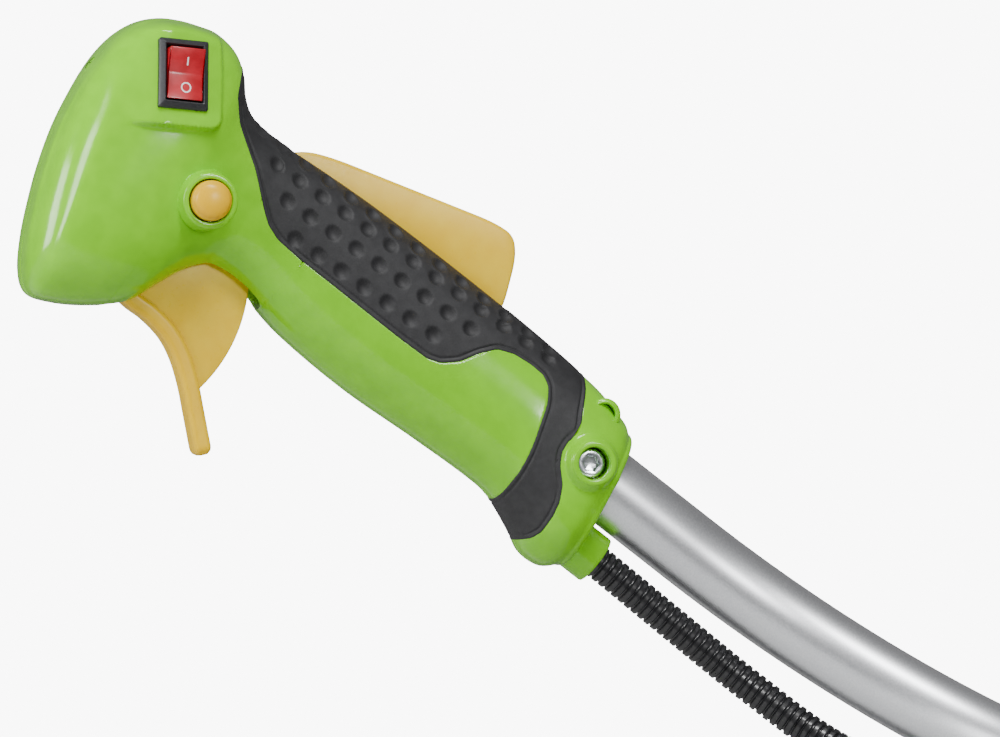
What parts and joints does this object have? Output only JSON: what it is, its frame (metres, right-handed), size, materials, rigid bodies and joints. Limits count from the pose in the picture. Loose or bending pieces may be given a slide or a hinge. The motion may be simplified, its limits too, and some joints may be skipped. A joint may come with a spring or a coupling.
{
  "type": "string trimmer throttle control handle",
  "caption": "Right-hand throttle handle of a string trimmer on its bent bar, with trigger, safety lever, lock button, rocker switch and cable conduit.",
  "frame": {"origin": "centre of the bar's clamped end face", "axes": "+X along the grip from the head to the bar, +Z the safety lever's side, -Y the side with the switch, the button and the clamp screw's head"},
  "size_m": [0.42, 0.1617, 0.1078],
  "materials": {
    "lime_shell": "moulded lime green, glossy",
    "black_rubber": "matte over-mould with round dimples",
    "amber_plastic": "moulded amber, slightly translucent",
    "red_plastic": "translucent red rocker",
    "black_plastic": "moulded black",
    "satin_aluminium": "satin anodised tube",
    "zinc_steel": "zinc plated",
    "spring_steel": "drawn wire",
    "terminal_brass": "stamped or turned",
    "red_insulation": "extruded wire insulation"
  },
  "bodies": {
    "root": {"left_shell": "lime_shell", "right_shell": "lime_shell", "left_grip_pad": "black_rubber", "right_grip_pad": "black_rubber", "switch_housing": "black_plastic", "button_guide": "black_plastic", "cable_stop": "black_plastic", "throttle_cable": "black_plastic", "conduit": "black_plastic", "conduit_clip": "black_plastic", "conduit_ferrule": "black_plastic", "inner_lead_2": "black_plastic", "switch_lead_2": "black_plastic", "inner_lead_1": "red_insulation", "switch_lead_1": "red_insulation", "handlebar_tube": "satin_aluminium", "clamp_screw": "zinc_steel", "clamp_nut": "zinc_steel", "collar_screw": "zinc_steel", "shell_screw_1": "zinc_steel", "shell_screw_2": "zinc_steel", "shell_screw_3": "zinc_steel", "shell_screw_4": "zinc_steel", "trigger_pin": "zinc_steel", "safety_lever_pin": "zinc_steel", "cable_adjuster": "zinc_steel", "adjuster_nut": "zinc_steel", "trigger_spring": "spring_steel", "safety_lever_spring": "spring_steel", "button_spring": "spring_steel", "switch_blade_1": "terminal_brass", "switch_blade_2": "terminal_brass", "bullet_terminal_1": "terminal_brass", "bullet_terminal_2": "terminal_brass"},
    "trigger": {"trigger": "amber_plastic"},
    "safety_lever": {"safety_lever": "amber_plastic"},
    "rocker": {"rocker": "red_plastic"},
    "lock_button": {"lock_button": "amber_plastic", "button_clip": "zinc_steel"},
    "throttle_wire": {"throttle_wire": "spring_steel", "cable_nipple": "zinc_steel"},
    "wire_end": {"throttle_wire_end": "spring_steel", "carburettor_nipple": "zinc_steel"}
  },
  "joints": [
    {"name": "trigger_pivot", "type": "hinge", "parent": "root", "child": "trigger", "pos_m": [-0.35656, 0.10909, -0.06324], "axis": [0, -1, 0], "range_deg": [0, 22], "stiffness_Nm_per_rad": 0.4, "springref_deg": -17.19, "deforming": ["trigger_spring"]},
    {"name": "safety_lever_pivot", "type": "hinge", "parent": "root", "child": "safety_lever", "pos_m": [-0.32756, 0.10909, -0.00424], "axis": [0, 1, 0], "range_deg": [0, 14], "stiffness_Nm_per_rad": 0.25, "springref_deg": -17.19, "deforming": ["safety_lever_spring"]},
    {"name": "rocker_pivot", "type": "hinge", "parent": "root", "child": "rocker", "pos_m": [-0.3737, 0.08512, -0.00416], "axis": [-0.8425, -0.1087, -0.5276], "range_deg": [0, 24]},
    {"name": "lock_button_slide", "type": "slide", "parent": "root", "child": "lock_button", "axis": [0, 1, 0], "range_m": [0, 0.004], "stiffness_N_per_m": 400, "springref_m": -0.002, "deforming": ["button_spring"]},
    {"name": "throttle_wire_slide", "type": "slide", "parent": "root", "child": "throttle_wire", "axis": [-1, 0, 0], "range_m": [0, 0.0135]},
    {"name": "wire_end_slide", "type": "slide", "parent": "root", "child": "wire_end", "axis": [-0.6428, 0.7544, -0.133], "range_m": [0, 0.0135]}
  ],
  "couplings": [
    {"joint": "throttle_wire_slide", "follows": "trigger_pivot", "m_per_rad": 0.0348},
    {"joint": "wire_end_slide", "follows": "trigger_pivot", "m_per_rad": 0.0348}
  ]
}
